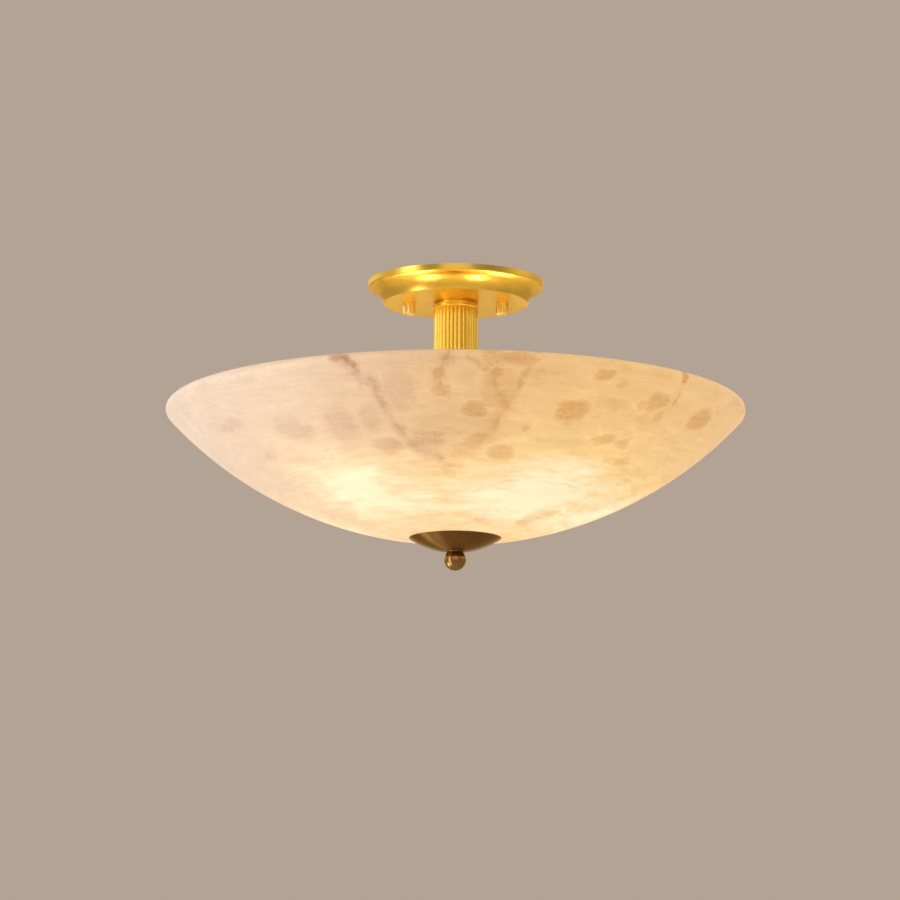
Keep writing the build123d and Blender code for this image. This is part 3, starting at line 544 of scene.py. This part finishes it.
def marks(stone):
    """How brown and how grey veins and patches make a point, and how far it lies on a patch's pale edge."""
    spot = pattern_spot(stone)
    broken = stone.range(stone.fields["blotch"], 0.34, 0.6, 0.45, 1.0)
    fibres = stone.math("ADD", stone.fields["fine"], stone.fields["grain"])
    fibres = stone.range(fibres, 0.75, 1.25, 0.45, 1.0)

    def together(rows, spots):
        on_veins = stone.math("MULTIPLY", veins(stone, spot, rows), broken)
        return stone.math("MAXIMUM", on_veins, stone.math("MULTIPLY", spots, fibres))

    spots = patches(stone, spot, BROWN_PATCHES)
    edge_start = stone.range(spots, 0.0, 0.1)
    edge = stone.math("MULTIPLY", edge_start, stone.range(spots, 0.1, 0.35, 1.0, 0.0))
    mottle = stone.range(stone.fields["mottle"], 0.54, 0.72)
    brown = together(BROWN_VEINS, strongest(stone, [(spots, SPOT_SHARE), (mottle, MOTTLE_SHARE)]))
    grey = together(GREY_VEINS, patches(stone, spot, GREY_PATCHES))
    return brown, grey, edge


def stone_tone(stone, edge):
    """The stone's level from its clouds, streaks, grain, pale cracks and the patches' pale edges."""
    crack = stone.cell_edges(stone.shaken(CRACK_SHAKE), CRACK_SCALE)
    crack = stone.range(crack, 0.0, CRACK_WIDTH, 1.0, 0.0)
    crack = stone.math("MULTIPLY", crack, stone.range(stone.fields["cloud"], 0.42, 0.6))
    fields = {**stone.fields, "crack": crack, "edge": edge}
    tone = TONE_BASE
    for name, share in TONE_SHARES.items():
        tone = stone.math("ADD", stone.math("MULTIPLY", fields[name], share), tone)
    return tone


def painted_bulb_glow(stone):
    """Painted glow of the bulbs' light through the stone, strongest where one stands close behind it."""
    glow = stone.range(stone.z, GLOW_TOP, GLOW_FOOT, 0.0, GLOW_GAIN)
    for angle, height, weight in GLOW_SPOTS:
        away = stone.vector("DISTANCE", stone.place, on_bowl(angle, height))
        for reach, strength in GLOW_REACHES.items():
            near = stone.math("DIVIDE", away, reach)
            fall = stone.math("MULTIPLY", stone.math("MULTIPLY", near, near), -1.0)
            near = stone.math("POWER", math.e, fall)
            glow = stone.math("ADD", glow, stone.math("MULTIPLY", near, strength * weight))
    for field, levels in GLOW_STREAKS.items():
        level = stone.range(stone.fields[field], 0.3, 0.7, *levels, smooth=False)
        glow = stone.math("MULTIPLY", glow, level)
    return glow


def lit_colour(stone, glow):
    """The stone's colour from left to right, paler on the left with painted side light, and brightened by the
    painted glow of the bulbs.
    """
    across = stone.range(stone.x, -COLOUR_REACH, COLOUR_REACH, smooth=False)

    def colours(stops):
        return stone.ramp(across, [((x / COLOUR_REACH + 1) / 2, colour) for x, colour in stops])

    in_halo = stone.range(glow, 0.0, HALO_LEVEL, smooth=False)
    in_core = stone.range(glow, HALO_LEVEL, HOT_LEVEL, smooth=False)
    return stone.mix(in_core, stone.mix(in_halo, colours(SIDE_LIT_STONE), colours(HALO_STONE)), HOT_STONE)


def lit_stone():
    """Alabaster with painted glow where the bulbs shine through: veins, patches, bedding streaks and pale
    cracks.
    """
    stone = Stone("lit_alabaster")
    brown, grey, edge = marks(stone)
    tone = stone_tone(stone, edge)
    glow = painted_bulb_glow(stone)

    def marked(colour, shade):
        for amount, tint in ((brown, BROWN_TINT), (grey, GREY_TINT)):
            darker = stone.mix(1.0, colour, tint, "MULTIPLY")
            colour = stone.mix(stone.math("MULTIPLY", amount, shade), colour, darker)
        return stone.scale(colour, tone)

    outside = marked(lit_colour(stone, glow), stone.range(glow, 0.3, 1.0, 1.0, 0.3))
    # The inside's painted glow: the stone's tone, darker near the stem with painted shade
    lining_tone_and_shade = stone.math("MULTIPLY", tone, stone.range(stone.out, *INNER_RADII, *INNER_SHADE_LEVELS))
    depth = stone.vector("DISTANCE", stone.place, (0.0, 0.0, bowl_centre()))
    depth = stone.math("SUBTRACT", BOWL_SPHERE_RADIUS, depth)
    inside = stone.range(depth, BOWL_WALL * 0.4, BOWL_WALL * 0.8)
    seen = stone.mix(inside, outside, stone.scale(INNER_GLOW, lining_tone_and_shade))
    stone.set("Base Color", marked(PALE_STONE, 1.0))
    # The emission paints the bulbs' glow through the stone, less what the room's light adds
    stone.set("Emission Color", stone.mix(1.0, seen, ROOM_SHARE, "SUBTRACT"))
    stone.set("Emission Strength", STONE_LIGHT)
    stone.set("Roughness", 0.42)
    stone.set("Specular IOR Level", 0.3)
    height = stone.math("ADD", stone.fields["broad"], stone.math("MULTIPLY", stone.fields["grain"], 0.5))
    stone.bump(height, 0.05, 0.001)
    return stone.material


# Ceramic, plastics, rubber and glass


def plain(name, colour, roughness, speckle, grain_scale, grain_bump, glow=None):
    """A moulded or fired surface: uneven colour and gloss over a fine grain, with a glow if given one."""
    graph = Surface(name)
    cloud = graph.noise(graph.place, 60.0, 3.0, 0.55)
    grain = graph.noise(graph.place, grain_scale, 2.0, 0.6)
    deep = tuple(channel * (1 - speckle) for channel in colour)
    tone = graph.math("ADD", graph.math("MULTIPLY", cloud, 0.6), graph.math("MULTIPLY", grain, 0.4))
    graph.set("Base Color", graph.mix(graph.range(tone, 0.35, 0.65), deep, colour))
    graph.set("Roughness", graph.math("ADD", graph.math("MULTIPLY", grain, 0.12), roughness))
    graph.bump(grain, grain_bump, 0.0003)
    if glow:
        graph.set("Emission Color", glow)
        graph.set("Emission Strength", graph.seen_rays())
    return graph.material


def lit_bulb():
    """Frosted bulb: full light over most of its length, and slightly warmer where it leaves its base."""
    graph = Surface("lit_frosted_bulb")
    frost = graph.noise(graph.place, 500.0)
    along = graph.range(graph.out, BULB_WARM_END, BULB_FULL_START, BULB_BASE_SHARE, 1.0)
    graph.set("Base Color", graph.mix(frost, BULB_FROST, BULB_GLASS))
    graph.set("Roughness", 0.55)
    graph.set("Emission Color", graph.mix(along, BULB_WARM_LIGHT, BULB_LIGHT))
    graph.set("Emission Strength", BULB_STRENGTH)
    return graph.material


def finishes():
    """One material for each of the record's slots, and one for each finish that only a few solids have."""
    made = {"alabaster": lit_stone(), "frosted_bulb": lit_bulb()}
    for name, settings in METALS.items():
        made[name] = metal(name, *settings)
    for name, settings in PLAIN_FINISHES.items():
        made[name] = plain(name, *settings)
    return made


# Bowl


def bowl_centre():
    """Height of the middle of the bowl's spheres, from the rim of the solid."""
    _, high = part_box("stone_bowl")
    lip = BOWL_WALL / 2
    return high.z - lip + math.sqrt((BOWL_SPHERE_RADIUS - lip) ** 2 - (high.x - lip) ** 2)


def on_bowl(angle, height):
    """The point of the bowl's outside at an angle from the viewer and a height in millimetres."""
    z = height * MM
    distance = math.sqrt(BOWL_SPHERE_RADIUS**2 - (z - bowl_centre()) ** 2)
    a = math.radians(angle)
    return (distance * math.sin(a), -distance * math.cos(a), z)


def bowl_outline():
    """Radius and height all round the bowl's section, from the lower edge of the hole out and back inside."""
    low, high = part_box("stone_bowl")
    centre = bowl_centre()
    lip = BOWL_WALL / 2
    lip_sphere = BOWL_SPHERE_RADIUS - lip
    inner_sphere = BOWL_SPHERE_RADIUS - BOWL_WALL
    inner_floor = centre - inner_sphere
    end = math.asin((high.x - lip) / lip_sphere)

    def on_sphere(radius, angle):
        return (radius * math.sin(angle), centre - radius * math.cos(angle))

    def arc(radius, first, last, steps):
        return [on_sphere(radius, first + (last - first) * step / steps) for step in range(steps + 1)]

    outer = arc(BOWL_SPHERE_RADIUS, math.acos((centre - low.z) / BOWL_SPHERE_RADIUS), end, BOWL_OUTER_STEPS)
    inner = arc(inner_sphere, end, math.asin(BOWL_FLAT_RADIUS / inner_sphere), BOWL_INNER_STEPS)
    middle = on_sphere(lip_sphere, end)
    edge = []
    for step in range(1, BOWL_LIP_STEPS):
        turn = end - math.pi / 2 + math.pi * step / BOWL_LIP_STEPS
        edge.append((middle[0] + lip * math.cos(turn), middle[1] + lip * math.sin(turn)))
    flat = [(BOWL_FLAT_RADIUS, inner_floor), (BOWL_HOLE_RADIUS, inner_floor)]
    return [(BOWL_HOLE_RADIUS, low.z), *outer, *edge, *inner, *flat]


def turned_mesh(name, outline, around):
    """A closed mesh made by turning a closed outline about the Z axis."""
    corners, faces = [], []
    count = len(outline)
    for turn in range(around):
        a = math.tau * turn / around
        corners += [(r * math.cos(a), r * math.sin(a), z) for r, z in outline]
    for turn in range(around):
        here, there = turn * count, (turn + 1) % around * count
        for step in range(count):
            after = (step + 1) % count
            faces.append((here + step, there + step, there + after, here + after))
    mesh = bpy.data.meshes.new(name)
    mesh.from_pydata(corners, [], faces)
    mesh.validate()
    piece = bpy.data.objects.new(name, mesh)
    bpy.context.scene.collection.objects.link(piece)
    return piece


def smooth(piece, degrees):
    """Smooth shading that keeps edges sharper than an angle."""
    piece.data.shade_smooth()
    piece.data.set_sharp_from_angle(angle=math.radians(degrees))


def stone_bowl(material):
    """The bowl with a finer mesh than its solid's, in the same place."""
    bowl = turned_mesh("bowl_stone", bowl_outline(), BOWL_AROUND)
    smooth(bowl, BOWL_SHARP_ANGLE)
    bowl.data.materials.append(material)
    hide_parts("stone_bowl")
    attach(bowl, "bowl")


# Stage, light and camera


def world():
    """Even soft light, with the plain backdrop where the camera or a gloss looks past the object."""
    sky = bpy.data.worlds.new("studio")
    graph = Graph(sky)
    towards = graph.parts(graph.add("ShaderNodeTexCoord").outputs["Generated"])
    depth = graph.range(towards["Y"], *BEHIND_ENDS, BEHIND_VIEWER, 1.0, smooth=False)
    level = graph.math("MAXIMUM", graph.add("ShaderNodeLightPath").outputs["Is Camera Ray"], depth)
    light = graph.add("ShaderNodeBackground", with_alpha(ROOM_LIGHT), ROOM_STRENGTH)
    backdrop = graph.add("ShaderNodeBackground", with_alpha(BACKDROP), level)
    choose = graph.add("ShaderNodeMixShader", graph.seen_rays(), light.outputs[0], backdrop.outputs[0])
    graph.add("ShaderNodeOutputWorld", choose.outputs[0])
    bpy.context.scene.world = sky


def floor():
    half = FLOOR_SIZE / 2
    mesh = bpy.data.meshes.new("floor")
    corners = [(-half, -half), (half, -half), (half, half), (-half, half)]
    mesh.from_pydata([(x, y, FLOOR_HEIGHT) for x, y in corners], [], [(0, 1, 2, 3)])
    ground = bpy.data.objects.new("floor", mesh)
    bpy.context.scene.collection.objects.link(ground)
    mesh.materials.append(plain("pale_floor", *FLOOR_FINISH, FLOOR_GLOW))


def area_light(name, place, aim, size, power, colour):
    """A panel of light that the camera does not see."""
    light = bpy.data.lights.new(name, "AREA")
    light.shape = "RECTANGLE"
    light.size, light.size_y = size
    light.energy = power
    light.color = colour
    lamp = bpy.data.objects.new(name, light)
    lamp.location = place
    lamp.rotation_euler = (Vector(aim) - Vector(place)).to_track_quat("-Z", "Y").to_euler()
    lamp.visible_camera = False
    bpy.context.scene.collection.objects.link(lamp)


def lights():
    for number, power in enumerate(RING_POWERS):
        turn = math.tau * number / len(RING_POWERS)
        place = (RING_RADIUS * math.sin(turn), RING_RADIUS * math.cos(turn), RING_HEIGHT)
        colour = Vector(RING_LEFT).lerp(Vector(RING_RIGHT), (1 + math.sin(turn)) / 2)
        area_light(f"ring_{number + 1}", place, RING_AIM, RING_PANEL, power, colour)
    for name, panel in PANELS.items():
        area_light(name, *panel)


def camera():
    lens = bpy.data.cameras.new("camera")
    lens.lens = CAMERA_LENS
    eye = bpy.data.objects.new("camera", lens)
    eye.location = CAMERA_PLACE
    tilt = Matrix.Rotation(math.radians(90 + CAMERA_PITCH), 3, "X")
    roll = Matrix.Rotation(math.radians(CAMERA_ROLL), 3, "Z")
    eye.rotation_euler = (tilt @ roll).to_euler()
    bpy.context.scene.collection.objects.link(eye)
    bpy.context.scene.camera = eye


def dress(materials):
    """Gives every solid the finish of its slot, or its own."""
    for part in frame["record"]["subparts"]:
        node = nodes[part["node"]]
        node.data.materials.clear()
        node.data.materials.append(materials[OWN_FINISH.get(part["node"], part["material_slot"])])
        smooth(node, SOLID_SHARP_ANGLE)


def main():
    bpy.context.scene.view_settings.view_transform = "Standard"
    materials = finishes()
    dress(materials)
    stone_bowl(materials["alabaster"])
    world()
    floor()
    lights()
    camera()


main()
